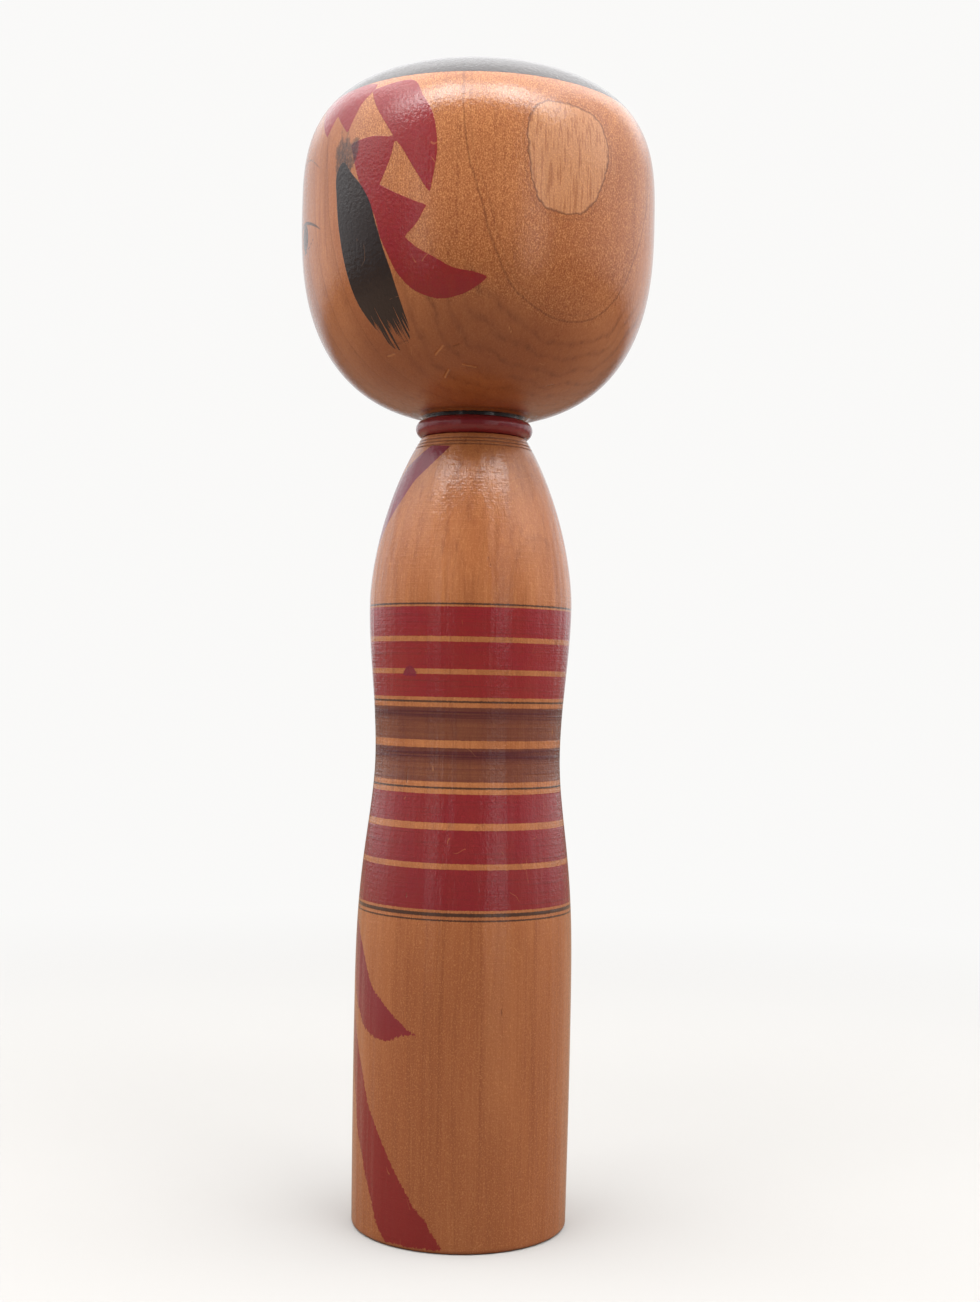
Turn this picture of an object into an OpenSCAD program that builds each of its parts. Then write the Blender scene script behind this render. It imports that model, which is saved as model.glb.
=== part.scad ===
// Kokeshi doll: a lathe-turned wooden body with a lathe-turned wooden head.
// The head is held on a bulged tenon in an undercut socket and turns without end.
// Millimetres, +Z up, origin at the centre of the foot, face towards -Y.

/* [Body] */
// Height of the body from the table to the seat under the head, mm
body_height = 209.3; // [150:0.1:280]
// Radius of the foot just above its rounded edge, mm
foot_radius = 27.8; // [18:0.1:40]
// Largest radius of the lower body, mm
hip_radius = 28.2; // [18:0.1:42]
// Height of the hip as a share of the body height
hip_at = 0.25; // [0.15:0.01:0.4]
// How long the hip stays full before it narrows, 1 is an even curve
hip_fullness = 1.75; // [1:0.05:2.5]
// Smallest radius of the body between hip and chest, mm
waist_radius = 24.1; // [15:0.1:40]
// Height of the waist as a share of the body height
waist_at = 0.578; // [0.5:0.001:0.68]
// Largest radius of the upper body, mm
chest_radius = 26.4; // [18:0.1:40]
// Height of the chest as a share of the body height
chest_at = 0.767; // [0.72:0.001:0.82]
// Fullness of the shoulder curve, 2 is an ellipse
shoulder_power = 1.65; // [1.4:0.05:2.4]
// Radius of the rounding on the edge of the foot, mm
foot_round = 1.0; // [0.4:0.1:3]
// Width of the flat rim that the foot stands on, mm
foot_rim_width = 7.0; // [4:0.5:12]
// Depth of the shallow dish inside the rim, mm
foot_dish_depth = 0.6; // [0.2:0.1:2]

/* [Neck] */
// Radius of the shoulder where it meets the neck ring, mm
shoulder_top_radius = 13.8; // [10:0.1:18]
// Height of the half-round neck ring, mm
ring_height = 4.6; // [2:0.1:8]
// How far the neck ring stands out from its own foot, mm
ring_depth = 2.2; // [1:0.1:4]
// Height of the plain collar between the neck ring and the head, mm
collar_height = 0.9; // [0.5:0.1:3]
// Number of fine grooves engraved below the neck ring
groove_count = 3; // [1:1:5]
// Distance between the grooves, mm
groove_pitch = 0.9; // [0.7:0.05:1.5]
// Depth of the grooves, mm
groove_depth = 0.25; // [0.1:0.05:0.5]

/* [Head] */
// Largest radius of the head, mm
head_radius = 46.2; // [30:0.1:60]
// Height of the head below its widest circle, mm
head_drop = 51.4; // [35:0.1:70]
// Height of the crown above the widest circle, mm
crown_rise = 36.6; // [25:0.1:50]
// Fullness of the lower head, 2 is an ellipse
cheek_power = 2.6; // [2:0.05:3.5]
// Fullness of the crown, 2 is an ellipse
crown_power = 3.15; // [2:0.05:4]
// Radius of the flat under the head, mm
chin_flat_radius = 14.4; // [12:0.1:20]
// Radius of the rounding on the lower edge of the head, mm
lip_round = 0.6; // [0.3:0.1:1.5]

/* [Fit] */
// Radius of the tenon below its bulge, mm
tenon_radius = 8.0; // [6:0.1:10]
// How far the bulge stands out from the tenon, mm
bulge_depth = 0.8; // [0.4:0.05:1.5]
// Height of the plain part of the tenon, mm
tenon_plain_height = 3.6; // [2:0.1:8]
// Height of the bulged part of the tenon, mm
bulge_height = 6.0; // [3:0.1:12]
// Running clearance between tenon and socket, mm
running_clearance = 0.06; // [0.02:0.01:0.2]
// Clearance between the seat and the underside of the head, mm
seat_clearance = 0.05; // [0.01:0.01:0.3]
// Free height above the tenon inside the socket, mm
socket_headroom = 0.5; // [0.2:0.1:3]

/* [Hidden] */
$fn = 96;
hip_z = hip_at * body_height;
waist_z = waist_at * body_height;
chest_z = chest_at * body_height;
collar_z = body_height - collar_height;
ring_z = collar_z - ring_height;
ring_foot_radius = shoulder_top_radius - 0.7;
collar_radius = ring_foot_radius - 0.4;
shoulder_end_z = ring_z - 0.2;
shoulder_share = 1 - pow(shoulder_top_radius / chest_radius, shoulder_power);
shoulder_rise = (shoulder_end_z - chest_z) / pow(shoulder_share, 1 / shoulder_power);
first_groove_z = shoulder_end_z - 1.2;
groove_half = 0.3;
last_groove_z = first_groove_z - (groove_count - 1) * groove_pitch;
bulge_ramp = 1.2;
tenon_top_z = body_height + tenon_plain_height + bulge_height;
head_base_z = body_height + seat_clearance;
head_mid_z = head_base_z + head_drop;
cheek_share = 1 - pow(chin_flat_radius / head_radius, cheek_power);
cheek_rise = head_drop / pow(cheek_share, 1 / cheek_power);
foot_rim_inner = foot_radius - foot_round - foot_rim_width;

// Smooth step from 0 to 1
function ease(t) = (1 - cos(180 * t)) / 2;

// Radius of the shoulder at a height above the chest
function shoulder_radius(z) =
    chest_radius * pow(1 - pow((z - chest_z) / shoulder_rise, shoulder_power), 1 / shoulder_power);

// Foot rounding, hip and waist, from the table up to the chest
foot_points = [
    for (a = [-90 : 15 : 0])
        [foot_radius - foot_round + foot_round * cos(a), foot_round + foot_round * sin(a)]
];
hip_points = [
    for (i = [1 : 8])
        let (t = i / 8)
        [foot_radius + (hip_radius - foot_radius) * sin(90 * t), foot_round + (hip_z - foot_round) * t]
];
waist_points = [
    for (i = [1 : 24])
        let (t = i / 24)
        [hip_radius + (waist_radius - hip_radius) * ease(pow(t, hip_fullness)), hip_z + (waist_z - hip_z) * t]
];
chest_points = [
    for (i = [1 : 16])
        let (t = i / 16)
        [waist_radius + (chest_radius - waist_radius) * ease(t), waist_z + (chest_z - waist_z) * t]
];

// Shoulder up to the lowest groove
shoulder_points = [
    for (i = [1 : 24])
        let (z = chest_z + (last_groove_z - groove_half - chest_z) * i / 24)
        [shoulder_radius(z), z]
];

// Engraved grooves, lowest first
groove_points = [
    for (i = [groove_count - 1 : -1 : 0])
        let (z = first_groove_z - i * groove_pitch)
        for (k = [0, 1, 2])
            let (h = z + (k - 1) * groove_half + (k == 0 ? 0.01 : 0))
            [shoulder_radius(h) - (k == 1 ? groove_depth : 0), h]
];

// Half-round neck ring and the collar under the head
ring_points = [
    for (a = [-90 : 10 : 90])
        [ring_foot_radius + ring_depth * cos(a), ring_z + ring_height / 2 + ring_height / 2 * sin(a)]
];

// Tenon with its bulge, drawn from the seat to the axis
tenon_points = [
    [collar_radius, collar_z],
    [collar_radius, body_height],
    [tenon_radius, body_height],
    [tenon_radius, body_height + tenon_plain_height],
    [tenon_radius + bulge_depth, body_height + tenon_plain_height + bulge_ramp],
    [tenon_radius + bulge_depth, tenon_top_z - 1.2],
    [tenon_radius + bulge_depth - 1.2, tenon_top_z],
    [0, tenon_top_z]
];

// Shallow dish inside the rim of the foot
dish_points = [
    [0, foot_dish_depth],
    [foot_rim_inner - 4, foot_dish_depth],
    [foot_rim_inner, 0]
];

// Lower edge, cheeks and crown of the head
lip_points = [
    for (a = [-90 : 30 : -30])
        [chin_flat_radius - lip_round + lip_round * cos(a), head_base_z + lip_round + lip_round * sin(a)]
];
cheek_start = asin(min(1, pow((head_drop - 0.55) / cheek_rise, cheek_power / 2)));
cheek_points = [
    for (i = [0 : 40])
        let (a = cheek_start * (1 - i / 40), down = pow(sin(a), 2 / cheek_power))
        [head_radius * pow(cos(a), 2 / cheek_power), head_mid_z - cheek_rise * down]
];
crown_points = [
    for (i = [1 : 36])
        let (a = 90 * i / 36, up = pow(sin(a), 2 / crown_power))
        [head_radius * pow(max(0, cos(a)), 2 / crown_power), head_mid_z + crown_rise * up]
];

// Undercut socket, drawn from the axis down to the underside of the head
socket_radius = tenon_radius + running_clearance;
socket_points = [
    [0, tenon_top_z + socket_headroom],
    [socket_radius + bulge_depth, tenon_top_z + socket_headroom],
    [socket_radius + bulge_depth, body_height + tenon_plain_height + bulge_ramp],
    [socket_radius, body_height + tenon_plain_height],
    [socket_radius, head_base_z]
];

// Body in one turned piece: foot, hip, waist, chest, shoulder, neck ring and tenon
module body()
{
    color("BurlyWood")
        rotate_extrude()
            polygon(concat(
                dish_points, foot_points, hip_points, waist_points, chest_points,
                shoulder_points, groove_points,
                [[shoulder_top_radius, shoulder_end_z]],
                ring_points, tenon_points
            ));
}

// Head in one turned piece with the socket for the tenon
module head()
{
    color("Peru")
        rotate_extrude()
            polygon(concat(socket_points, lip_points, cheek_points, crown_points));
}

body();
head();
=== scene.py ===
"""Kokeshi doll: a turned body and a turned head, painted with a brush and lacquered.

Sizes are in mm unless a comment says otherwise. Angles round the doll are in degrees: 0 is the
middle of the face, and 90 is the doll's left.
"""
import math

import bpy
import numpy as np
from mathutils import Matrix, Vector

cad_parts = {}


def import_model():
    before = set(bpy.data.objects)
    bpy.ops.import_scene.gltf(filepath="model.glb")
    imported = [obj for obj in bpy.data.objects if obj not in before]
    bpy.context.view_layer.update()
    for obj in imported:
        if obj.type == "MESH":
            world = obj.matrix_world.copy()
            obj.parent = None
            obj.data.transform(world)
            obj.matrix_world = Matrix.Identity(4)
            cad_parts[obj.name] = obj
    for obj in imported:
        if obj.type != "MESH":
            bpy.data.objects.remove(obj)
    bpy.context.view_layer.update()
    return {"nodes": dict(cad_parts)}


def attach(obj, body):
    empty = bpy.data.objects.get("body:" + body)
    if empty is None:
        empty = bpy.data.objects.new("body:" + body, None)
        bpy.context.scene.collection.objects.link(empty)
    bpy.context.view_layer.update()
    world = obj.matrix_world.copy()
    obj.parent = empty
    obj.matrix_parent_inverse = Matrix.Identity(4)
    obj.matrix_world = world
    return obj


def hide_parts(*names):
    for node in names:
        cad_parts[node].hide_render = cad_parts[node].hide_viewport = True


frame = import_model()
MM = 0.001

# ---------------------------------------------------------------- turned outlines
# The same sizes as in part.scad. Heights are above the plane that the doll stands on.
BODY_H = 209.3
HIP_Z, WAIST_Z, CHEST_Z = 0.25 * BODY_H, 0.578 * BODY_H, 0.767 * BODY_H
FOOT_R, HIP_R, WAIST_R, CHEST_R = 27.8, 28.2, 24.1, 26.4
FOOT_ROUND = 1
DISH_R, DISH_RIM_R, DISH_H = 15.8, 19.8, 0.6
HIP_FULLNESS, SHOULDER_POWER = 1.75, 1.65
NECK_R, COLLAR_R = 13.8, 12.7
RING_CENTRE_R, RING_BULGE, RING_HALF_H = NECK_R - 0.7, 2.2, 2.3
COLLAR_Z = BODY_H - 0.9
RING_Z = COLLAR_Z - 2 * RING_HALF_H
SHOULDER_END = RING_Z - 0.2
GROOVE_PITCH, GROOVE_DEPTH, GROOVE_HALF_W = 0.9, 0.25, 0.3
GROOVES = [SHOULDER_END - 1.2 - GROOVE_PITCH * k for k in (2, 1, 0)]
SEAT_GAP, RUNNING_GAP, SOCKET_HEADROOM = 0.05, 0.06, 0.5
HEAD_BASE = BODY_H + SEAT_GAP
HEAD_R, HEAD_DROP, CROWN_RISE = 46.2, 51.4, 36.6
CHEEK_POWER, CROWN_POWER = 2.6, 3.15
CHIN_R, LIP_ROUND, CHEEK_START = 14.4, 0.6, 0.55
HEAD_MID = HEAD_BASE + HEAD_DROP
TENON_R, BULGE_R, BULGE_SLOPE = 8.0, 8.8, 1.2
TENON_PLAIN_TOP, BULGE_FOOT, TENON_TOP = BODY_H + 3.6, BODY_H + 4.8, BODY_H + 9.6


def ease(t):
    """0 to 1 with level ends."""
    return (1 - math.cos(math.pi * t)) / 2


def arc(r, z, a, b, start, end, n):
    """Part of an ellipse as (radius, height) points, angles in degrees."""
    t = np.radians(np.linspace(start, end, n))
    return [(r + a * math.cos(k), z + b * math.sin(k)) for k in t]


def shoulder_radius(z, rise):
    return CHEST_R * (1 - ((z - CHEST_Z) / rise) ** SHOULDER_POWER) ** (1 / SHOULDER_POWER)


def body_outline():
    """From the middle of the foot up to the middle of the tenon's top."""
    pts = [(0, DISH_H), (DISH_R, DISH_H), (DISH_RIM_R, 0)]
    pts += arc(FOOT_R - FOOT_ROUND, FOOT_ROUND, FOOT_ROUND, FOOT_ROUND, -90, 0, 9)
    pts += [(FOOT_R + (HIP_R - FOOT_R) * math.sin(math.pi / 2 * t),
             FOOT_ROUND + (HIP_Z - FOOT_ROUND) * t) for t in np.linspace(0.02, 1, 30)]
    pts += [(HIP_R + (WAIST_R - HIP_R) * ease(t ** HIP_FULLNESS), HIP_Z + (WAIST_Z - HIP_Z) * t)
            for t in np.linspace(0.02, 1, 60)]
    pts += [(WAIST_R + (CHEST_R - WAIST_R) * ease(t), WAIST_Z + (CHEST_Z - WAIST_Z) * t)
            for t in np.linspace(0.02, 1, 40)]
    share = 1 - (NECK_R / CHEST_R) ** SHOULDER_POWER
    rise = (SHOULDER_END - CHEST_Z) / share ** (1 / SHOULDER_POWER)
    heights = list(np.linspace(CHEST_Z + 0.6, GROOVES[0] - 0.6, 56))
    heights += list(np.arange(GROOVES[0] - 0.5, SHOULDER_END, 0.05)) + [SHOULDER_END]
    for z in heights:
        cut = max(GROOVE_DEPTH * (1 - abs(z - g) / GROOVE_HALF_W) for g in GROOVES)
        pts.append((shoulder_radius(z, rise) - max(0, cut), z))
    pts += arc(RING_CENTRE_R, RING_Z + RING_HALF_H, RING_BULGE, RING_HALF_H, -90, 90, 27)
    pts += [(COLLAR_R, COLLAR_Z), (COLLAR_R, BODY_H), (TENON_R, BODY_H)]
    pts += [(TENON_R, TENON_PLAIN_TOP), (BULGE_R, BULGE_FOOT), (BULGE_R, TENON_TOP - BULGE_SLOPE)]
    pts += [(BULGE_R - BULGE_SLOPE, TENON_TOP), (0, TENON_TOP)]
    return pts


def head_outline():
    """From the middle of the socket's roof, down and round the outside to the crown's middle."""
    inner, pocket = TENON_R + RUNNING_GAP, BULGE_R + RUNNING_GAP
    roof = TENON_TOP + SOCKET_HEADROOM
    pts = [(0, roof), (pocket, roof), (pocket, BULGE_FOOT)]
    pts += [(inner, TENON_PLAIN_TOP), (inner, HEAD_BASE)]
    pts += arc(CHIN_R - LIP_ROUND, HEAD_BASE + LIP_ROUND, LIP_ROUND, LIP_ROUND, -90, -30, 5)
    share = 1 - (CHIN_R / HEAD_R) ** CHEEK_POWER
    rise = HEAD_DROP / share ** (1 / CHEEK_POWER)
    start = math.asin(((HEAD_DROP - CHEEK_START) / rise) ** (CHEEK_POWER / 2))
    for a in np.linspace(start, 0, 120)[:-1]:
        r = HEAD_R * math.cos(a) ** (2 / CHEEK_POWER)
        pts.append((r, HEAD_MID - rise * math.sin(a) ** (2 / CHEEK_POWER)))
    pts.append((HEAD_R, HEAD_MID))
    for a in np.linspace(0, math.pi / 2, 110)[1:]:
        r = HEAD_R * max(0.0, math.cos(a)) ** (2 / CROWN_POWER)
        pts.append((r, HEAD_MID + CROWN_RISE * math.sin(a) ** (2 / CROWN_POWER)))
    pts[-1] = (0, pts[-1][1])
    return pts


def even_out(pts, step, keep_under):
    """Cuts long stretches of an outline to about step, and keeps short stretches as they are."""
    out = [pts[0]]
    for (r0, z0), (r1, z1) in zip(pts, pts[1:]):
        length = math.hypot(r1 - r0, z1 - z0)
        if length < 1e-4:
            continue
        n = max(1, int(math.ceil(length / step)))
        out += [(r0 + (r1 - r0) * k / n, z0 + (z1 - z0) * k / n) for k in range(1, n + 1)]
    thin = [out[0]]
    for p in out[1:-1]:
        if math.hypot(p[0] - thin[-1][0], p[1] - thin[-1][1]) >= keep_under:
            thin.append(p)
    thin.append(out[-1])
    return np.array(thin)


SHARP_FROM = math.radians(50)


def lathe(name, outline, sides):
    """Turned closed mesh. Returns the object, and for each vertex its angle from the front, its
    radius, its height and its length along the outline."""
    rings = outline[1:-1]
    n = len(rings)
    turn = np.radians(np.arange(sides) * 360.0 / sides)
    r = np.repeat(rings[:, 0], sides)
    z = np.repeat(rings[:, 1], sides)
    t = np.tile(turn, n)
    co = np.stack([r * np.sin(t), -r * np.cos(t), z], 1)
    co = np.vstack([co, [0, 0, outline[0][1]], [0, 0, outline[-1][1]]]) * MM
    i = np.arange(n - 1)[:, None] * sides
    j = np.arange(sides)[None, :]
    k = (j + 1) % sides
    quads = np.stack([i + j, i + k, i + k + sides, i + j + sides], -1).reshape(-1, 4)
    j = np.arange(sides)
    k = (j + 1) % sides
    low = np.stack([np.full(sides, n * sides), k, j], -1)
    top = np.stack([np.full(sides, n * sides + 1), (n - 1) * sides + j, (n - 1) * sides + k], -1)
    mesh = bpy.data.meshes.new(name)
    mesh.vertices.add(len(co))
    mesh.vertices.foreach_set("co", co.ravel())
    loops = np.concatenate([quads.ravel(), low.ravel(), top.ravel()])
    sizes = np.concatenate([np.full(len(quads), 4), np.full(2 * sides, 3)])
    mesh.loops.add(len(loops))
    mesh.loops.foreach_set("vertex_index", loops)
    mesh.polygons.add(len(sizes))
    mesh.polygons.foreach_set("loop_start", np.concatenate([[0], np.cumsum(sizes)[:-1]]))
    mesh.polygons.foreach_set("loop_total", sizes)
    mesh.polygons.foreach_set("use_smooth", np.ones(len(sizes), bool))
    mesh.update(calc_edges=True)
    mesh.validate()
    mesh.set_sharp_from_angle(angle=SHARP_FROM)
    obj = bpy.data.objects.new(name, mesh)
    bpy.context.scene.collection.objects.link(obj)
    seg = np.hypot(*np.diff(rings, axis=0).T)
    length = np.concatenate([[0], np.cumsum(seg)])
    deg = (np.degrees(t) + 180) % 360 - 180
    pole = np.array([0.0, 0.0])
    return obj, {
        "deg": np.concatenate([deg, pole]),
        "r": np.concatenate([r, pole]),
        "z": np.concatenate([z, [outline[0][1], outline[-1][1]]]),
        "s": np.concatenate([np.repeat(length, sides), [0, length[-1]]]),
        "outer": (rings[:, 1], rings[:, 0], length),
    }


class Skin:
    """The unrolled outside of a turned piece, where strokes are drawn as (degrees, mm up)."""

    def __init__(self, grid, z_from):
        z, r, s = grid["outer"]
        first = np.argmax((r > CHIN_R - 1) & (z >= z_from))
        self.z, self.r, self.s = z[first:], r[first:], s[first:]
        self.grid = grid
        self.on = (grid["s"] >= self.s[0] - 1e-6) & (grid["r"] > 0)

    def flat(self, deg, z, mid):
        """Stroke points on the unrolled surface, with mid as its middle."""
        order = np.argsort(self.z, kind="stable")
        r = np.interp(z, self.z[order], self.r[order])
        s = np.interp(z, self.z[order], self.s[order])
        return np.stack([np.radians(deg - mid) * r, s], -1)

    def vertices(self, mid, mirror):
        """All vertices on the same unrolled surface."""
        g = self.grid
        deg = (-g["deg"] if mirror else g["deg"]) - mid
        deg = (deg + 180) % 360 - 180
        return np.stack([np.radians(deg) * g["r"], g["s"]], -1)

    def distance(self, pts, mirror=False, closed=True, reach=6.0):
        """Distance from each vertex to a stroke's edge, negative inside, or to an open line."""
        pts = np.array(pts, float)
        mid = (pts[:, 0].min() + pts[:, 0].max()) / 2
        line = self.flat(pts[:, 0], pts[:, 1], mid)
        v = self.vertices(mid, mirror)
        out = np.full(len(v), float(reach))
        low, high = line.min(0) - reach, line.max(0) + reach
        near = self.on & (v > low).all(1) & (v < high).all(1)
        q = v[near]
        a = line
        b = np.roll(line, -1, 0)
        if not closed:
            a, b = line[:-1], line[1:]
        best = np.full(len(q), float(reach) ** 2)
        inside = np.zeros(len(q), bool)
        for p0, p1 in zip(a, b):
            e = p1 - p0
            w = q - p0
            t = np.clip((w @ e) / max(e @ e, 1e-12), 0, 1)
            best = np.minimum(best, ((w - t[:, None] * e) ** 2).sum(1))
            if closed:
                cross = (p0[1] > q[:, 1]) != (p1[1] > q[:, 1])
                x = p0[0] + (q[:, 1] - p0[1]) * e[0] / (e[1] if e[1] else 1e-12)
                inside ^= cross & (q[:, 0] < x)
        d = np.sqrt(best)
        out[near] = np.where(inside, -d, d)
        return out


def smooth_line(pts, closed=True, steps=8, corners=()):
    """Catmull-Rom curve through the points. Points listed in corners stay sharp."""
    p = np.array(pts, float)
    n = len(p)
    out = []
    for i in range(n if closed else n - 1):
        p1, p2 = p[i], p[(i + 1) % n]
        p0 = p[(i - 1) % n] if closed or i > 0 else p1
        p3 = p[(i + 2) % n] if closed or i + 2 < n else p2
        m1 = (p2 - p0) / 2 if i not in corners else (p2 - p1) * 0.6
        m2 = (p3 - p1) / 2 if (i + 1) % n not in corners else (p2 - p1) * 0.6
        for k in range(steps):
            t = k / steps
            h = 3 * t ** 2 - 2 * t ** 3
            bend = (t ** 3 - 2 * t ** 2 + t) * m1 + (t ** 3 - t ** 2) * m2
            out.append((1 - h) * p1 + h * p2 + bend)
    if not closed:
        out.append(p[-1])
    return np.array(out)


def put(obj, name, values):
    """Keeps one number for each vertex, which the material reads as an attribute."""
    layer = obj.data.attributes.new(name, "FLOAT", "POINT")
    layer.data.foreach_set("value", np.asarray(values, np.float32))


# ---------------------------------------------------------------- the two pieces
BODY_SIDES, HEAD_SIDES = 272, 432
body, body_grid = lathe("kokeshi_body", even_out(body_outline(), 0.7, 0.04), BODY_SIDES)
head, head_grid = lathe("kokeshi_head", even_out(head_outline(), 0.75, 0.3), HEAD_SIDES)
body_skin = Skin(body_grid, 0)
head_skin = Skin(head_grid, HEAD_BASE)

# Brush strokes on the head as (degrees from the middle of the face, mm up)
KASE_FRONT = [(36, 286), (38, 280), (44, 274.5), (48, 279.5), (55.5, 273.5), (59, 280),
              (62, 286)]
KASE_PETAL = [(62, 284), (66, 279), (71.5, 273), (75, 269), (77, 267), (80.5, 262.5),
              (84.5, 257.5), (86, 256), (87, 260), (88, 266), (87.5, 271), (86, 275.5),
              (82.5, 280), (77, 285)]
KASE_LEAF = [(57.5, 270.5), (66, 271.2), (74.5, 270), (73, 265), (69.5, 259), (74, 257),
             (80.5, 254.5), (85, 253), (82, 249), (78, 246), (81.5, 243.5), (87, 241),
             (93, 238.5), (99.5, 237.5), (104, 236.5), (101, 234.5), (96, 232.5), (89, 231.5),
             (83, 232.5), (78.5, 234.5), (74.5, 238), (72, 242), (69.5, 246.5), (67.5, 252),
             (64, 257), (61, 262)]
LOCK = [(51.2, 263.5), (51.6, 258), (52.3, 252), (53.2, 247), (54.2, 241.5), (55.6, 236),
        (57.5, 231.5), (60.5, 227.5), (64, 224), (67, 221.5), (71, 221), (74.5, 222.5),
        (76, 225.5), (75.3, 229), (74.2, 233), (72.5, 238.5), (70.7, 243), (68.2, 249.5),
        (66, 255), (62.8, 259.3), (58.6, 263), (54.5, 266.5)]
TUFT = [(49.5, 272), (50.5, 268), (51, 263.5), (54, 262), (58.5, 264), (61, 268.5), (60.5, 272),
        (57.5, 271), (56, 274), (54.5, 271.5), (52.5, 275), (51.5, 271)]
FRINGE = [(-22, 286), (-21, 279), (-17, 273), (-12, 270), (-6, 268.5), (0, 268), (6, 268.5),
          (12, 270), (17, 273), (21, 279), (22, 286)]
BROW = [(14, 268), (19, 270.5), (25, 271.7), (30, 271.8), (35, 270.5), (41, 267.5)]
LID = [(13, 251.5), (17, 254), (22, 255.6), (28, 256), (33.5, 255), (38.5, 253.5), (42, 252)]
LOWER_LID = [(17, 250.5), (22, 249), (28, 248.6), (33, 249.5), (37, 251)]
IRIS = [(24, 252), (24.6, 254.2), (27.5, 255.6), (30.4, 254.6), (31.4, 252.2), (30.4, 250),
        (27.5, 249), (25, 249.8)]
NOSE = [(-2.6, 243.5), (-3.2, 241.8), (-1.6, 240.6), (0, 241.2), (1.6, 240.6), (3.2, 241.8),
        (2.6, 243.5)]
NOSE_RIDGE = [(3.4, 252), (2.4, 247.5), (2.3, 244.5)]
LIPS = [(-4.6, 233), (-2.2, 234.6), (0, 233.9), (2.2, 234.6), (4.6, 233), (2.6, 231.4),
        (0, 230.8), (-2.6, 231.4)]
LIP_LINE = [(-5, 233), (-2, 232.6), (0, 232.9), (2, 232.6), (5, 233)]


def union(*distances):
    return np.minimum.reduce(distances)


def both(skin, pts, **how):
    """A stroke and its mirror image on the other side of the face."""
    return union(skin.distance(pts, **how), skin.distance(pts, mirror=True, **how))


def tapered(skin, pts, width, mirrored):
    """A thin brush line that is widest in its middle third. Negative inside."""
    measure = both if mirrored else Skin.distance
    fine = smooth_line(pts, closed=False, steps=10)
    parts = []
    for i in range(len(fine) - 1):
        t = (i + 0.5) / (len(fine) - 1)
        half = width / 2 * (0.35 + 0.65 * math.sin(math.pi * t) ** 0.7)
        parts.append(measure(skin, fine[i:i + 2], closed=False, reach=3) - half)
    return union(*parts)


kase = union(both(head_skin, smooth_line(KASE_FRONT, corners=(2, 3, 4))),
             both(head_skin, smooth_line(KASE_PETAL, corners=(0, 7))),
             both(head_skin, smooth_line(KASE_LEAF, corners=(0, 2, 4, 7, 9, 14))))
lock = both(head_skin, smooth_line(LOCK), reach=8)
fringe = head_skin.distance(smooth_line(FRINGE, corners=(0, 10)), reach=8)
# each line of the face with its width, and whether it is drawn on both sides
FACE_LINES = ((BROW, 0.55, True), (LID, 0.75, True), (LOWER_LID, 0.45, True), (NOSE, 0.7, False),
              (NOSE_RIDGE, 0.6, True), (LIP_LINE, 0.55, False))
fine_lines = union(both(head_skin, smooth_line(IRIS), reach=3),
                   *[tapered(head_skin, *line) for line in FACE_LINES])
lips = head_skin.distance(smooth_line(LIPS), reach=4)
put(head, "kase", kase)
put(head, "lock", lock)
put(head, "fringe", fringe)
put(head, "fine_lines", fine_lines)
put(head, "lips", lips)
# Brush hairs run down the lock: an angle that follows its slant
LOCK_TOP = 272
drop = LOCK_TOP - head_grid["z"]
put(head, "hair_run", np.abs(head_grid["deg"]) - 52.5 - 0.27 * drop - 0.002 * drop ** 2)
put(head, "tuft", both(head_skin, smooth_line(TUFT, corners=(0, 8, 10)), reach=4))

# Growth rings on the doll's left: an oval figure, a long loop round it and a golden area
OVAL = [(121, 253.5), (117, 258.5), (115.5, 266), (115.5, 274.5), (120, 279), (127, 279.8),
        (135, 279), (141, 276.5), (143.5, 270), (141.5, 262.5), (137, 256), (130.5, 252.8)]
LOOP = [(95, 290), (96.5, 268), (99.5, 259), (102.5, 250), (106, 242.5), (110, 236.5),
        (116, 232), (124, 229.3), (132, 228.2), (140, 229), (147, 231.5), (153, 236),
        (158, 242.5), (162, 249), (165, 256), (168, 266), (170, 290)]
GOLDEN = [(56, 292), (58, 275), (64, 258), (70, 246), (76, 236), (86, 230.5), (98, 232),
          (110, 231.5), (120, 228.5), (132, 227.3), (146, 229.5), (157, 236), (165, 246),
          (169, 260), (171, 275), (170, 292)]
put(head, "oval", head_skin.distance(smooth_line(OVAL), reach=9))
put(head, "loop", head_skin.distance(smooth_line(LOOP, corners=(0, 16)), reach=34))
put(head, "golden", head_skin.distance(smooth_line(GOLDEN, corners=(0, 15)), reach=12))

# Small marks of use as short lines, and their half widths
LIGHT_HALF, DARK_HALF, NICK_HALF = 0.15, 0.05, 0.0
LIGHT_MARKS = [[(84, 219.5), (88, 221.5)], [(85.5, 215), (88.5, 216.5)],
               [(62, 220), (66, 220.3)], [(95, 217.5), (101, 217)], [(112, 226), (113.5, 224.5)]]
DARK_MARKS = [[(67, 222.2), (74, 222.8)], [(91.5, 221.2), (94.5, 221.7)],
              [(140, 214.5), (144, 215)]]


def marks(skin, lines, half):
    """Distance to the nearest of several short scratches, less half their width."""
    return np.min([skin.distance(line, closed=False, reach=3) - half for line in lines], axis=0)


put(head, "light_marks", marks(head_skin, LIGHT_MARKS, LIGHT_HALF))
put(head, "dark_marks", marks(head_skin, DARK_MARKS, DARK_HALF))

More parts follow.
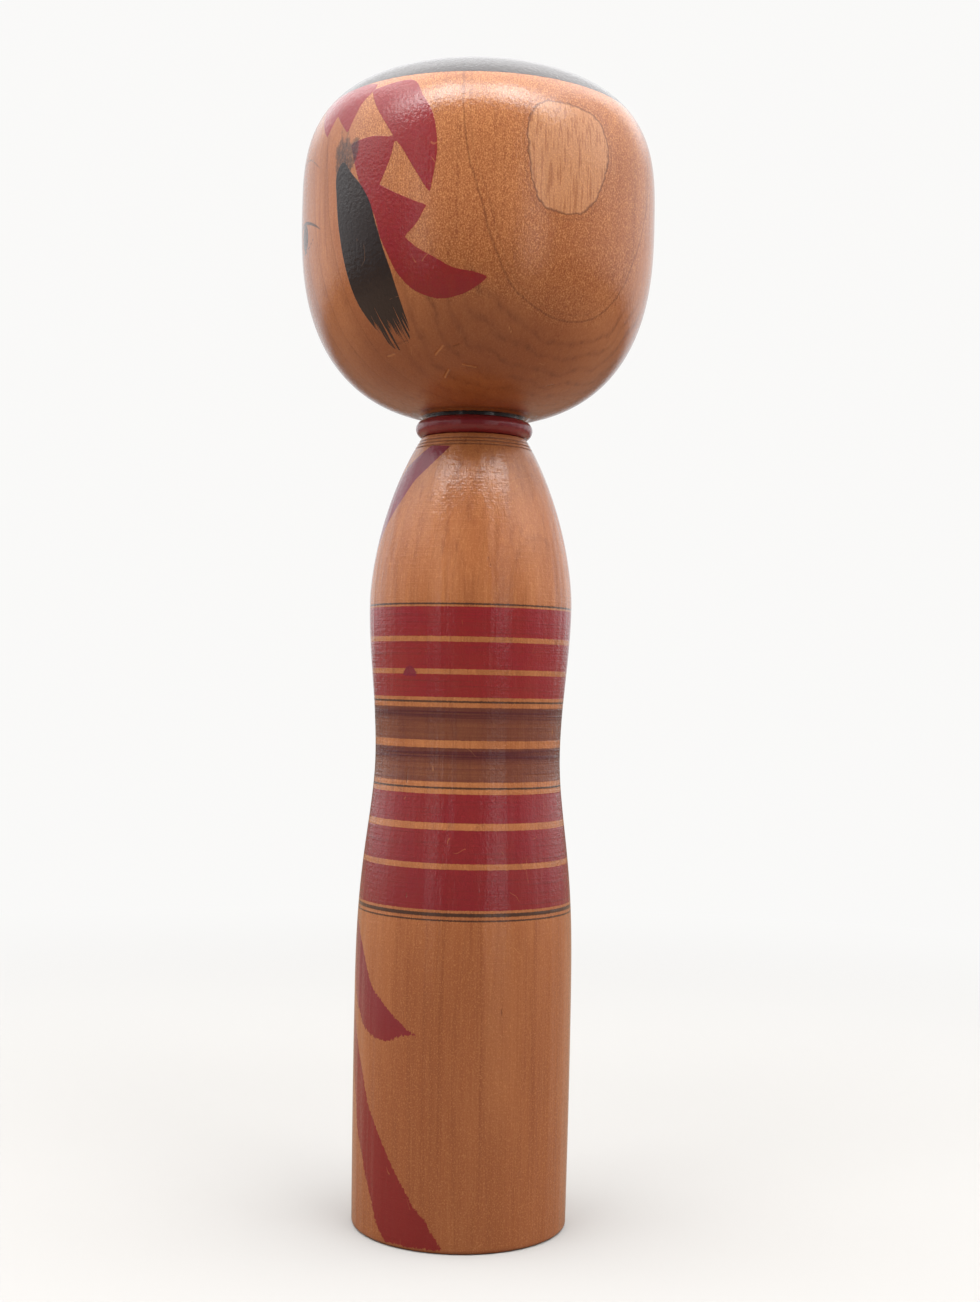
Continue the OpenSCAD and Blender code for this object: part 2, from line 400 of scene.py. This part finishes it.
# Strokes on the body
COLLAR = [(79, 200), (70, 197), (61, 194), (52, 191), (45, 187), (37, 183), (27, 178),
          (17, 172.5), (8, 167), (0, 161), (-5, 162), (-6, 167), (-2, 173), (5, 180), (13, 187),
          (28, 194), (45, 198), (57, 200.5)]
HEM_SHORT = [(12, 81), (24, 78), (37, 70.5), (45, 64), (53.5, 60.5), (62, 57.5), (71, 54.5),
             (79, 52.5), (74, 53), (66.5, 52), (60, 50.5), (52.5, 50.5), (43.5, 51.5),
             (37.5, 53), (33, 55.5), (26, 59), (17, 66), (10, 75)]
HEM_LONG = [(14, 62), (24, 53), (34.5, 44.5), (40, 39), (45, 33.5), (51.5, 29), (60, 23),
            (66, 18.5), (73, 14), (77, 11), (82.5, 8.5), (88, 4.5), (93, 1), (60, 1), (53, 5),
            (48, 11), (43, 15.5), (38, 21), (31.5, 26.5), (28.5, 33), (20, 44), (12, 54)]
SMEAR = [(60, 141.5), (62, 143.2), (64.5, 144.2), (67.5, 143.2), (69.5, 141.5)]
put(body, "collar", both(body_skin, smooth_line(COLLAR, corners=(0, 17))))
put(body, "hem", union(both(body_skin, smooth_line(HEM_SHORT, corners=(0, 7, 8))),
                       both(body_skin, smooth_line(HEM_LONG, corners=(0, 12, 13))),
                       body_skin.distance(smooth_line(SMEAR))))
BODY_NICKS = [[(63, 118.5), (62, 114.5)], [(68, 88), (69, 86.5)], [(110, 171), (111, 169)],
              [(120, 60), (121, 58)]]
put(body, "dark_marks", marks(body_skin, BODY_NICKS, NICK_HALF))


# ---------------------------------------------------------------- shader helper
class Graph:
    """Short names for shader nodes, so that a pattern reads as a formula."""

    def __init__(self, name):
        self.material = bpy.data.materials.new(name)
        self.material.use_nodes = True
        self.tree = self.material.node_tree
        self.tree.nodes.clear()
        self.out = self.tree.nodes.new("ShaderNodeOutputMaterial")
        coords = self.tree.nodes.new("ShaderNodeTexCoord")
        scale = self.node("ShaderNodeVectorMath", operation="SCALE")
        self.tree.links.new(coords.outputs["Object"], scale.inputs[0])
        scale.inputs["Scale"].default_value = 1 / MM
        self.p = scale.outputs[0]
        split = self.node("ShaderNodeSeparateXYZ")
        self.tree.links.new(self.p, split.inputs[0])
        self.x, self.y, self.z = split.outputs

    def node(self, kind, **props):
        n = self.tree.nodes.new(kind)
        for k, v in props.items():
            setattr(n, k, v)
        return n

    def feed(self, socket, value):
        if isinstance(value, bpy.types.NodeSocket):
            self.tree.links.new(value, socket)
        else:
            socket.default_value = value

    def math(self, op, a, b=0.0):
        n = self.node("ShaderNodeMath", operation=op)
        for s, v in zip(n.inputs, (a, b)):
            self.feed(s, v)
        return n.outputs[0]

    def add(self, a, b):
        return self.math("ADD", a, b)

    def sub(self, a, b):
        return self.math("SUBTRACT", a, b)

    def mul(self, a, b):
        return self.math("MULTIPLY", a, b)

    def most(self, first, *others):
        for other in others:
            first = self.math("MAXIMUM", first, other)
        return first

    def least(self, a, b):
        return self.math("MINIMUM", a, b)

    def from_axis(self):
        return self.math("SQRT", self.add(self.mul(self.x, self.x), self.mul(self.y, self.y)))

    def inside(self, distance, soft=0.12):
        """1 where a signed distance is below zero, with a soft edge."""
        return self.step(distance, -soft, soft, 1, 0)

    def between(self, value, low, high, soft):
        return self.least(self.step(value, low - soft, low + soft),
                          self.step(value, high - soft, high + soft, 1, 0))

    def step(self, value, low, high, to_low=0.0, to_high=1.0):
        """Goes smoothly from to_low to to_high as value goes from low to high."""
        n = self.node("ShaderNodeMapRange", interpolation_type="SMOOTHSTEP")
        names = ("Value", "From Min", "From Max", "To Min", "To Max")
        for k, v in zip(names, (value, low, high, to_low, to_high)):
            self.feed(n.inputs[k], v)
        return n.outputs[0]

    def stretch(self, sx, sy, sz, shift=0.0):
        """The place in mm times a number for each axis: cycles of a noise per mm."""
        n = self.node("ShaderNodeVectorMath", operation="MULTIPLY_ADD")
        self.feed(n.inputs[0], self.p)
        n.inputs[1].default_value = (sx, sy, sz)
        n.inputs[2].default_value = (shift, shift * 0.7, shift * 1.3)
        return n.outputs[0]

    def noise(self, vector, detail=2.0, rough=0.5):
        n = self.node("ShaderNodeTexNoise")
        self.feed(n.inputs["Vector"], vector)
        n.inputs["Scale"].default_value = 1.0
        n.inputs["Detail"].default_value = detail
        n.inputs["Roughness"].default_value = rough
        return n.outputs["Fac"]

    def mix(self, factor, a, b):
        n = self.node("ShaderNodeMix", data_type="RGBA")
        self.feed(n.inputs["Factor"], factor)
        sockets = [s for s in n.inputs if s.type == "RGBA"]
        for socket, value in zip(sockets, (a, b)):
            self.feed(socket, (*value, 1) if isinstance(value, tuple) else value)
        return [s for s in n.outputs if s.type == "RGBA"][0]

    def attribute(self, name):
        return self.node("ShaderNodeAttribute", attribute_name=name).outputs["Fac"]

    def combine(self, x, y, z):
        n = self.node("ShaderNodeCombineXYZ")
        for s, v in zip(n.inputs, (x, y, z)):
            self.feed(s, v)
        return n.outputs[0]

    def bump(self, height, distance):
        """A normal that tilts with the height, with the distance in m."""
        n = self.node("ShaderNodeBump")
        self.feed(n.inputs["Height"], height)
        n.inputs["Distance"].default_value = distance
        n.inputs["Strength"].default_value = 1.0
        return n.outputs[0]


# ---------------------------------------------------------------- colours and lacquer
LIGHT_WOOD, WARM_WOOD, DARK_WOOD = (0.45, 0.17, 0.062), (0.35, 0.115, 0.038), (0.2, 0.055, 0.02)
LINE_WOOD, GOLD, PALE_WOOD = (0.12, 0.035, 0.014), (0.66, 0.3, 0.11), (0.6, 0.3, 0.14)
RED, CRIMSON, PLUM = (0.24, 0.010, 0.016), (0.235, 0.006, 0.018), (0.17, 0.013, 0.04)
PURPLE, BLACK = (0.075, 0.013, 0.017), (0.009, 0.009, 0.011)
# the third colour here is painted shade: the near black of the shadowed gap between the head and
# the neck ring
HEM_RED, NECK_RED, COLLAR_GAP_PAINTED_SHADE = (0.19, 0.003, 0.007), (0.19, 0.01, 0.022), (0.012, 0.004, 0.003)
RIPPLE_DEPTH = 0.17 * MM
LACQUER = {"IOR": 1.45, "Specular IOR Level": 0.1, "Coat Weight": 1.0, "Coat Roughness": 0.07,
           "Coat IOR": 1.5}

# Painted bands round the body, each from and to a height
RED_BANDS = [(151.3, 158.7), (143.2, 150.0), (136.2, 141.9), (105.1, 112.2), (95.2, 103.4),
             (83.9, 93.8)]
PURPLE_BANDS = [(125.5, 133.7), (115.2, 123.6)]
BLACK_LINES = [(159.15, 159.6), (134.85, 135.35), (113.45, 113.95), (82.35, 83.25), (81.2, 81.6)]
PURPLE_THICK = [(130.6, 133.8), (120.4, 123.7)]
GROOVE_LINES = [(at - 0.18, at + 0.18) for at in GROOVES]

# Rings on the crown, each from and to a radius; the black ones go on last
CROWN_RINGS = (((20.0, 29.6), 0.95, CRIMSON), ((10.0, 18.6), 0.9, PURPLE),
               ((-1.0, 4.5), 0.95, CRIMSON))
CROWN_BLACKS = ((30.2, 40.6), (8.0, 9.0), (19.0, 19.5))
FLOW_PITCH = 4.3


def wood(g, pith_x, pith_y, tilt, ring_mm, shift):
    """Growth rings round a pith line outside the piece, with fibres along the turning axis.

    Returns the colour and the patterns for fibres, streaks and rings.
    """
    warp = g.mul(g.sub(g.noise(g.stretch(0.035, 0.035, 0.012, shift), 2), 0.5), 7.0)
    dx, dy = g.sub(g.x, pith_x), g.sub(g.y, pith_y)
    far = g.math("SQRT", g.add(g.mul(dx, dx), g.mul(dy, dy)))
    depth = g.add(g.add(far, g.mul(g.z, tilt)), warp)
    phase = g.math("FRACT", g.math("DIVIDE", depth, ring_mm))
    line = g.least(g.step(phase, 0.0, 0.03), g.step(phase, 0.05, 0.12, 1.0, 0.0))
    late = g.step(phase, 0.5, 1.0)
    rings = g.add(g.mul(line, 0.3), g.mul(late, 0.12))
    broad = g.noise(g.stretch(0.05, 0.05, 0.012, shift + 11), 3)
    fibre = g.noise(g.stretch(2.4, 2.4, 0.06, shift + 3), 3, 0.6)
    streak = g.noise(g.stretch(0.5, 0.5, 0.012, shift + 5), 4, 0.65)
    colour = g.mix(g.step(broad, 0.35, 0.68), WARM_WOOD, LIGHT_WOOD)
    colour = g.mix(g.mul(g.step(streak, 0.48, 0.74), 0.5), colour, DARK_WOOD)
    colour = g.mix(g.mul(g.step(fibre, 0.5, 0.8), 0.26), colour, DARK_WOOD)
    colour = g.mix(g.mul(g.step(fibre, 0.5, 0.25), 0.22), colour, GOLD)
    return colour, fibre, streak, rings


def scratched(g, shift):
    """Hair-thin curved scratches, short and rare, from the level lines of a noise."""
    level = g.math("ABSOLUTE", g.sub(g.noise(g.stretch(0.11, 0.11, 0.07, shift), 1, 0.4), 0.5))
    where = g.noise(g.stretch(0.22, 0.22, 0.16, shift + 2), 2, 0.5)
    return g.mul(g.step(level, 0.0012, 0.0035, 1, 0), g.step(where, 0.61, 0.66))


def sand(g, shift):
    """Fine light and dark grains, as on wood sanded across its pores."""
    return g.noise(g.stretch(3.2, 3.2, 2.4, shift), 3, 0.6)


def finish_lacquer(g, colour, height, roughness):
    """Coloured wood under a clear coat that ripples with the height."""
    shader = g.node("ShaderNodeBsdfPrincipled")
    g.feed(shader.inputs["Base Color"], colour)
    g.feed(shader.inputs["Roughness"], roughness)
    for name, value in LACQUER.items():
        shader.inputs[name].default_value = value
    normal = g.bump(height, RIPPLE_DEPTH)
    g.feed(shader.inputs["Normal"], normal)
    g.feed(shader.inputs["Coat Normal"], normal)
    g.tree.links.new(shader.outputs[0], g.out.inputs[0])
    return g.material


def ragged(g, shift, size=0.35):
    """A small jitter, mm, for the edge of a painted area."""
    a = g.sub(g.noise(g.stretch(2.4, 2.4, 2.4, shift), 3, 0.6), 0.5)
    return g.mul(a, size * 2)


def head_material():
    g = Graph("head_wood_painted")
    colour, fibre, streak, rings = wood(g, pith_x=-117, pith_y=-94, tilt=0.06, ring_mm=6.6, shift=0)
    rag = ragged(g, 21)
    slow = g.sub(g.noise(g.stretch(0.12, 0.12, 0.05, 71), 3), 0.5)
    loop = g.add(g.attribute("loop"), g.mul(slow, 3.0))
    there = g.step(g.attribute("loop"), 22, 33, 1, 0)
    colour = g.mix(g.mul(rings, g.sub(1.0, there)), colour, LINE_WOOD)
    grains = sand(g, 14)
    gold = g.step(g.add(g.attribute("golden"), g.mul(slow, 6.0)), -2.0, 2.0, 1, 0)
    light_share, dark_share = g.add(0.14, g.mul(gold, 0.52)), g.add(0.18, g.mul(gold, 0.36))
    colour = g.mix(g.mul(g.step(grains, 0.5, 0.64), light_share), colour, GOLD)
    colour = g.mix(g.mul(g.step(grains, 0.5, 0.36), dark_share), colour, DARK_WOOD)
    # flowing dark rings below the loop
    flow = g.math("FRACT", g.math("DIVIDE", g.add(loop, g.mul(slow, 5.0)), FLOW_PITCH))
    flow_line = g.least(g.step(flow, 0.0, 0.3), g.step(flow, 0.34, 0.6, 1, 0))
    outside = g.mul(g.step(loop, 1.5, 6.0), g.mul(there, g.step(g.z, 246, 232)))
    broken = g.step(streak, 0.3, 0.7, 0.1, 0.45)
    colour = g.mix(g.mul(g.mul(flow_line, outside), broken), colour, LINE_WOOD)
    # darker towards the neck: painted shade under the head, mixed with darker, redder streaky wood
    low = g.step(g.add(g.z, g.mul(g.sub(streak, 0.5), 30)), 212, 246, 1, 0)
    colour = g.mix(g.mul(low, 0.45), colour, DARK_WOOD)

    def contour(distance, at, width, strength):
        edge = g.math("ABSOLUTE", g.sub(distance, at))
        return g.mul(g.step(edge, width * 0.3, width, 1, 0), strength)

    outline = g.most(contour(loop, 0.0, 0.4, 0.5), contour(loop, -1.6, 0.35, 0.2))
    outline = g.mul(outline, g.step(fibre, 0.25, 0.6, 0.5, 1.0))
    wobble = g.mul(g.sub(g.noise(g.stretch(0.5, 0.5, 0.5, 81), 3), 0.5), 1.6)
    oval = g.add(g.attribute("oval"), wobble)
    outline = g.most(outline, contour(oval, 0.0, 0.42, 0.75), contour(oval, 1.3, 0.35, 0.2))
    colour = g.mix(outline, colour, LINE_WOOD)
    within = g.step(oval, -0.4, 0.2, 1, 0)
    pores = g.noise(g.stretch(1.7, 1.7, 0.13, 33), 2, 0.6)
    pale = g.mix(g.mul(g.step(pores, 0.5, 0.62), 0.6), PALE_WOOD, DARK_WOOD)
    colour = g.mix(g.mul(within, 0.5), colour, pale)
    # red ornaments
    thin = g.noise(g.stretch(0.4, 0.4, 0.4, 31), 3)
    red = g.mix(g.step(thin, 0.3, 0.75), RED, CRIMSON)
    kase = g.inside(g.add(g.attribute("kase"), g.mul(rag, 0.6)), 0.1)
    colour = g.mix(g.mul(kase, 0.95), colour, red)
    lips = g.inside(g.add(g.attribute("lips"), g.mul(rag, 0.4)), 0.1)
    colour = g.mix(g.mul(lips, 0.9), colour, CRIMSON)
    # black hair: the side locks and the fringe, drawn with a dry brush, and the tufts
    hairs = g.noise(g.combine(g.mul(g.attribute("hair_run"), 1.7), g.mul(g.z, 0.03), 4.0), 3, 0.6)

    def dry_brush(name, jitter, end, full, bare_at_end, gap):
        """A black area, solid above the height full, that breaks into hairs towards its end."""
        bare = g.step(g.sub(hairs, g.step(g.z, end, full, bare_at_end, 0.85)), 0.0, 0.04)
        edge = g.add(g.add(g.attribute(name), g.mul(rag, jitter)), g.mul(bare, gap))
        return g.step(edge, -0.08, 0.12, 1, 0)

    lock = dry_brush("lock", jitter=0.25, end=219, full=240, bare_at_end=0.4, gap=9)
    fringe = dry_brush("fringe", jitter=0.3, end=264, full=280, bare_at_end=0.45, gap=6)
    fuzz = g.noise(g.stretch(1.3, 1.3, 0.7, 44), 3, 0.7)
    tuft = g.step(g.add(g.attribute("tuft"), g.mul(g.sub(fuzz, 0.5), 3.0)), -0.6, 0.3, 1, 0)
    tuft = g.mul(tuft, g.step(fuzz, 0.3, 0.6, 0.45, 0.8))
    lines = g.mul(g.step(g.attribute("fine_lines"), -0.06, 0.1, 1, 0), 0.85)
    colour = g.mix(g.mul(g.most(lock, tuft, fringe, lines), 0.97), colour, BLACK)
    # rings on the crown
    radius = g.add(g.from_axis(), g.mul(rag, 0.4))
    high = g.step(g.z, 272, 274)

    def ring(span):
        return g.mul(g.between(radius, *span, 0.08), high)

    for span, share, tint in CROWN_RINGS:
        colour = g.mix(g.mul(ring(span), share), colour, tint)
    black = g.most(*[ring(span) for span in CROWN_BLACKS])
    colour = g.mix(g.mul(black, 0.97), colour, BLACK)
    worn = g.mul(scratched(g, 41), 0.22)
    worn = g.most(worn, g.mul(g.step(g.attribute("light_marks"), -0.05, 0.22, 1, 0), 0.45))
    colour = g.mix(worn, colour, GOLD)
    dark_marks = g.step(g.attribute("dark_marks"), 0.0, 0.3, 1, 0)
    colour = g.mix(g.mul(dark_marks, 0.5), colour, LINE_WOOD)
    paint = g.most(kase, lock, black, fringe)
    peel = g.noise(g.stretch(1.1, 1.1, 1.1, 9), 2, 0.55)
    fine = g.noise(g.stretch(5.0, 5.0, 5.0, 13), 2, 0.5)
    dents = g.step(g.least(g.attribute("light_marks"), g.attribute("dark_marks")), -0.1, 0.35, 1, 0)
    height = g.mul(peel, g.add(0.35, g.mul(paint, 0.3)))
    height = g.add(height, g.add(g.mul(fine, 0.12), g.mul(fibre, 0.25)))
    height = g.sub(height, g.mul(dents, 0.8))
    rough = g.step(peel, 0.3, 0.7, 0.38, 0.52)
    return finish_lacquer(g, colour, height, rough)


def body_material():
    g = Graph("body_wood_painted")
    colour, fibre, _, rings = wood(g, pith_x=90, pith_y=130, tilt=0.01, ring_mm=5.2, shift=50)
    colour = g.mix(g.mul(rings, 0.5), colour, LINE_WOOD)
    grains = sand(g, 17)
    # painted shade: the wood darkens towards the foot, where less light reaches the lower body
    colour = g.mix(g.step(g.z, 60, 125, 0.42, 0.0), colour, DARK_WOOD)
    colour = g.mix(g.mul(g.step(grains, 0.5, 0.7), 0.32), colour, GOLD)
    rag = ragged(g, 61)
    z = g.add(g.z, g.mul(rag, 0.55))

    def bands(spans, soft=0.09):
        return g.most(*[g.between(z, low, high, soft) for low, high in spans])

    reds, purples, blacks = bands(RED_BANDS), bands(PURPLE_BANDS), bands(BLACK_LINES, 0.12)
    turned = g.noise(g.combine(g.mul(g.x, 0.03), g.mul(g.y, 0.03), g.mul(g.z, 2.2)), 3, 0.6)
    cloud = g.noise(g.stretch(0.12, 0.12, 0.12, 66), 3)
    red = g.mix(g.step(cloud, 0.35, 0.7), RED, CRIMSON)
    red = g.mix(g.mul(g.step(turned, 0.5, 0.75), 0.35), red, PURPLE)
    red = g.mix(g.step(g.z, 90, 145, 0.25, 0.0), red, PURPLE)
    colour = g.mix(g.mul(reds, 0.95), colour, red)
    wash = g.add(0.78, g.mul(bands(PURPLE_THICK, 1.4), 0.24))
    wash = g.mul(wash, g.step(turned, 0.25, 0.8, 0.82, 1.05))
    colour = g.mix(g.mul(purples, wash), colour, PURPLE)
    bleed = g.mul(g.sub(g.noise(g.stretch(1.5, 1.5, 0.9, 83), 3, 0.7), 0.5), 2.0)
    hem = g.inside(g.add(g.attribute("hem"), bleed))
    hem_paint = g.mix(g.step(g.z, 35, 75, 0.1, 0.75), HEM_RED, PLUM)
    collar = g.inside(g.add(g.attribute("collar"), g.mul(rag, 0.6)))
    colour = g.mix(g.mul(hem, 0.93), colour, hem_paint)
    colour = g.mix(g.mul(collar, 0.93), colour, PLUM)
    colour = g.mix(g.mul(blacks, 0.85), colour, BLACK)
    neck = bands([(RING_Z - 0.15, COLLAR_Z + 0.05)])
    colour = g.mix(g.mul(neck, 0.95), colour, NECK_RED)
    # painted shade: the collar above the neck ring is made near black, standing in for the shadow
    # in the gap under the head
    colour = g.mix(g.step(g.z, COLLAR_Z, COLLAR_Z + 0.1), colour, COLLAR_GAP_PAINTED_SHADE)
    colour = g.mix(g.mul(bands(GROOVE_LINES, 0.08), 0.6), colour, LINE_WOOD)
    bare = g.step(g.z, 0.2, 0.8, 1, 0)
    colour = g.mix(g.mul(bare, 0.15), colour, LIGHT_WOOD)
    peel = g.noise(g.stretch(1.1, 1.1, 1.1, 19), 2, 0.55)
    fine = g.noise(g.stretch(5.0, 5.0, 5.0, 23), 2, 0.5)
    worn = scratched(g, 37)
    colour = g.mix(g.mul(worn, 0.22), colour, GOLD)
    dark_marks = g.step(g.attribute("dark_marks"), 0.0, 0.35, 1, 0)
    colour = g.mix(g.mul(dark_marks, 0.7), colour, LINE_WOOD)
    facets = g.noise(g.stretch(0.16, 0.16, 0.003, 29), 2, 0.5)
    marks_of_lathe = g.add(g.mul(turned, 0.3), g.mul(facets, 3.8))
    height = g.add(g.add(g.mul(peel, 0.5), g.mul(fine, 0.1)), g.mul(fibre, 0.3))
    height = g.sub(g.add(height, marks_of_lathe), g.mul(dark_marks, 0.8))
    rough = g.step(peel, 0.3, 0.7, 0.38, 0.52)
    return finish_lacquer(g, colour, height, rough)


for piece, node, maker in ((body, "body", body_material), (head, "head", head_material)):
    piece.data.materials.append(maker())
    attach(piece, node)
    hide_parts(node)
    frame["nodes"][node].data.materials.clear()
    frame["nodes"][node].data.materials.append(piece.data.materials[0])


# ---------------------------------------------------------------- floor, light, camera
VIEW_AZIMUTH = math.radians(100)
WALL_COLOUR, SKY_COLOUR = (0.955, 0.95, 0.94, 1), (0.98, 0.985, 1.0, 1)
FLOOR_SEEN, FLOOR_BOUNCE = (0.45, 0.44, 0.425), (0.26, 0.18, 0.13)
FLOOR_RADIUS_M, FLOOR_SIDES = 6.0, 96
FADE_FROM, FADE_TO = 120, 620
DOLL_MIDDLE_M = 0.15


def floor():
    """A pale disc that fades into the wall's colour away from the doll."""
    mesh = bpy.data.meshes.new("floor")
    turns = [2 * math.pi * k / FLOOR_SIDES for k in range(FLOOR_SIDES)]
    rim = [(FLOOR_RADIUS_M * math.cos(t), FLOOR_RADIUS_M * math.sin(t), 0) for t in turns]
    mesh.from_pydata(rim, [], [list(range(FLOOR_SIDES))])
    obj = bpy.data.objects.new("floor", mesh)
    bpy.context.scene.collection.objects.link(obj)
    g = Graph("pale_floor")
    path = g.node("ShaderNodeLightPath")
    seen = g.most(path.outputs["Is Camera Ray"], path.outputs["Is Transmission Ray"])
    matte = g.node("ShaderNodeBsdfDiffuse")
    g.feed(matte.inputs["Color"], g.mix(seen, FLOOR_BOUNCE, FLOOR_SEEN))
    glow = g.node("ShaderNodeEmission")
    glow.inputs["Color"].default_value = WALL_COLOUR
    blend = g.node("ShaderNodeMixShader")
    g.feed(blend.inputs[0], g.mul(g.step(g.from_axis(), FADE_FROM, FADE_TO), seen))
    g.tree.links.new(matte.outputs[0], blend.inputs[1])
    g.tree.links.new(glow.outputs[0], blend.inputs[2])
    g.tree.links.new(blend.outputs[0], g.out.inputs[0])
    mesh.materials.append(g.material)


def world():
    """A pale room: the walls behind and beside the doll are bright, and the near side is dim."""
    w = bpy.data.worlds.new("studio")
    bpy.context.scene.world = w
    w.use_nodes = True
    t = w.node_tree
    t.nodes.clear()
    out = t.nodes.new("ShaderNodeOutputWorld")
    path = t.nodes.new("ShaderNodeLightPath")
    seen = t.nodes.new("ShaderNodeMath")
    seen.operation = "MAXIMUM"
    t.links.new(path.outputs["Is Camera Ray"], seen.inputs[0])
    t.links.new(path.outputs["Is Transmission Ray"], seen.inputs[1])
    soft = t.nodes.new("ShaderNodeBackground")
    soft.inputs[0].default_value = SKY_COLOUR
    coords = t.nodes.new("ShaderNodeTexCoord")
    facing = t.nodes.new("ShaderNodeVectorMath")
    facing.operation = "DOT_PRODUCT"
    t.links.new(coords.outputs["Generated"], facing.inputs[0])
    facing.inputs[1].default_value = (math.sin(VIEW_AZIMUTH), -math.cos(VIEW_AZIMUTH), 0)
    level = t.nodes.new("ShaderNodeMapRange")
    level.interpolation_type = "SMOOTHSTEP"
    for k, v in zip(("From Min", "From Max", "To Min", "To Max"), (-0.4, 0.75, 0.85, 0.16)):
        level.inputs[k].default_value = v
    t.links.new(facing.outputs["Value"], level.inputs["Value"])
    t.links.new(level.outputs["Result"], soft.inputs[1])
    white = t.nodes.new("ShaderNodeBackground")
    white.inputs[0].default_value = WALL_COLOUR
    white.inputs[1].default_value = 1.0
    mix = t.nodes.new("ShaderNodeMixShader")
    t.links.new(seen.outputs[0], mix.inputs[0])
    t.links.new(soft.outputs[0], mix.inputs[1])
    t.links.new(white.outputs[0], mix.inputs[2])
    t.links.new(mix.outputs[0], out.inputs[0])


def lamp_place(azimuth, elevation, distance):
    """A point round the doll's middle, with angles in degrees and the distance in m."""
    a, e = math.radians(azimuth), math.radians(elevation)
    way = Vector((math.sin(a) * math.cos(e), -math.cos(a) * math.cos(e), math.sin(e)))
    return way * distance + Vector((0, 0, DOLL_MIDDLE_M))


def lamp(name, azimuth, elevation, distance, size, power, mirrored=True):
    """An area lamp aimed at the doll. One that isn't mirrored doesn't show in the lacquer."""
    data = bpy.data.lights.new(name, "AREA")
    data.shape = "RECTANGLE"
    data.size, data.size_y = size
    data.energy = power
    obj = bpy.data.objects.new(name, data)
    bpy.context.scene.collection.objects.link(obj)
    place = lamp_place(azimuth, elevation, distance)
    obj.visible_glossy = mirrored
    obj.location = place
    obj.rotation_euler = (Vector((0, 0, DOLL_MIDDLE_M)) - place).to_track_quat("-Z", "Y").to_euler()


def camera():
    """A hand-held camera, tipped up and rolled by about a degree, with its place in m."""
    az, side, back, high = VIEW_AZIMUTH, 0.0053, 0.4456, 0.1397
    pitch, roll = math.radians(1.11), math.radians(1.15)
    right = Vector((math.cos(az), math.sin(az), 0))
    ahead = Vector((-math.sin(az), math.cos(az), 0))
    place = right * side - ahead * back + Vector((0, 0, high))
    look = ahead * math.cos(pitch) + Vector((0, 0, 1)) * math.sin(pitch)
    up = right.cross(look)
    up_rolled = up * math.cos(roll) - right * math.sin(roll)
    right_rolled = right * math.cos(roll) + up * math.sin(roll)
    data = bpy.data.cameras.new("camera")
    data.sensor_width = 36
    data.lens = 47.0046
    data.clip_start = 0.01
    obj = bpy.data.objects.new("camera", data)
    m = Matrix((right_rolled, up_rolled, -look)).transposed().to_4x4()
    m.translation = place
    obj.matrix_world = m
    bpy.context.scene.collection.objects.link(obj)
    bpy.context.scene.camera = obj


floor()
world()
# name, azimuth and elevation in degrees, distance in m, size in m, power in W
lamp("ceiling_a", 70, 62, 0.9, (0.17, 0.28), 0.7)
lamp("ceiling_b", 128, 62, 0.9, (0.17, 0.28), 0.7)
lamp("ceiling_strip", 100, 63, 0.9, (1.5, 0.28), 6.2)
lamp("overhead", 100, 80, 0.9, (1.1, 0.7), 4.8)
lamp("far_wall", 280, 44, 1.6, (2.4, 0.8), 4.0)
lamp("far_ceiling", 280, 68, 1.2, (1.6, 0.5), 4.0)
lamp("left_fill", 8, 28, 1.0, (1.2, 1.2), 6.2, mirrored=False)
lamp("right_fill", 192, 28, 1.0, (1.2, 1.2), 6.2, mirrored=False)
lamp("left_strip", 64, 10, 1.3, (0.14, 1.2), 1.0)
lamp("right_strip", 136, 10, 1.3, (0.16, 1.2), 1.25)
lamp("left_sky", 24, 43, 1.2, (1.0, 0.9), 2.6)
lamp("right_sky", 172, 43, 1.2, (1.0, 0.9), 2.8)
camera()
bpy.context.scene.view_settings.view_transform = "Standard"
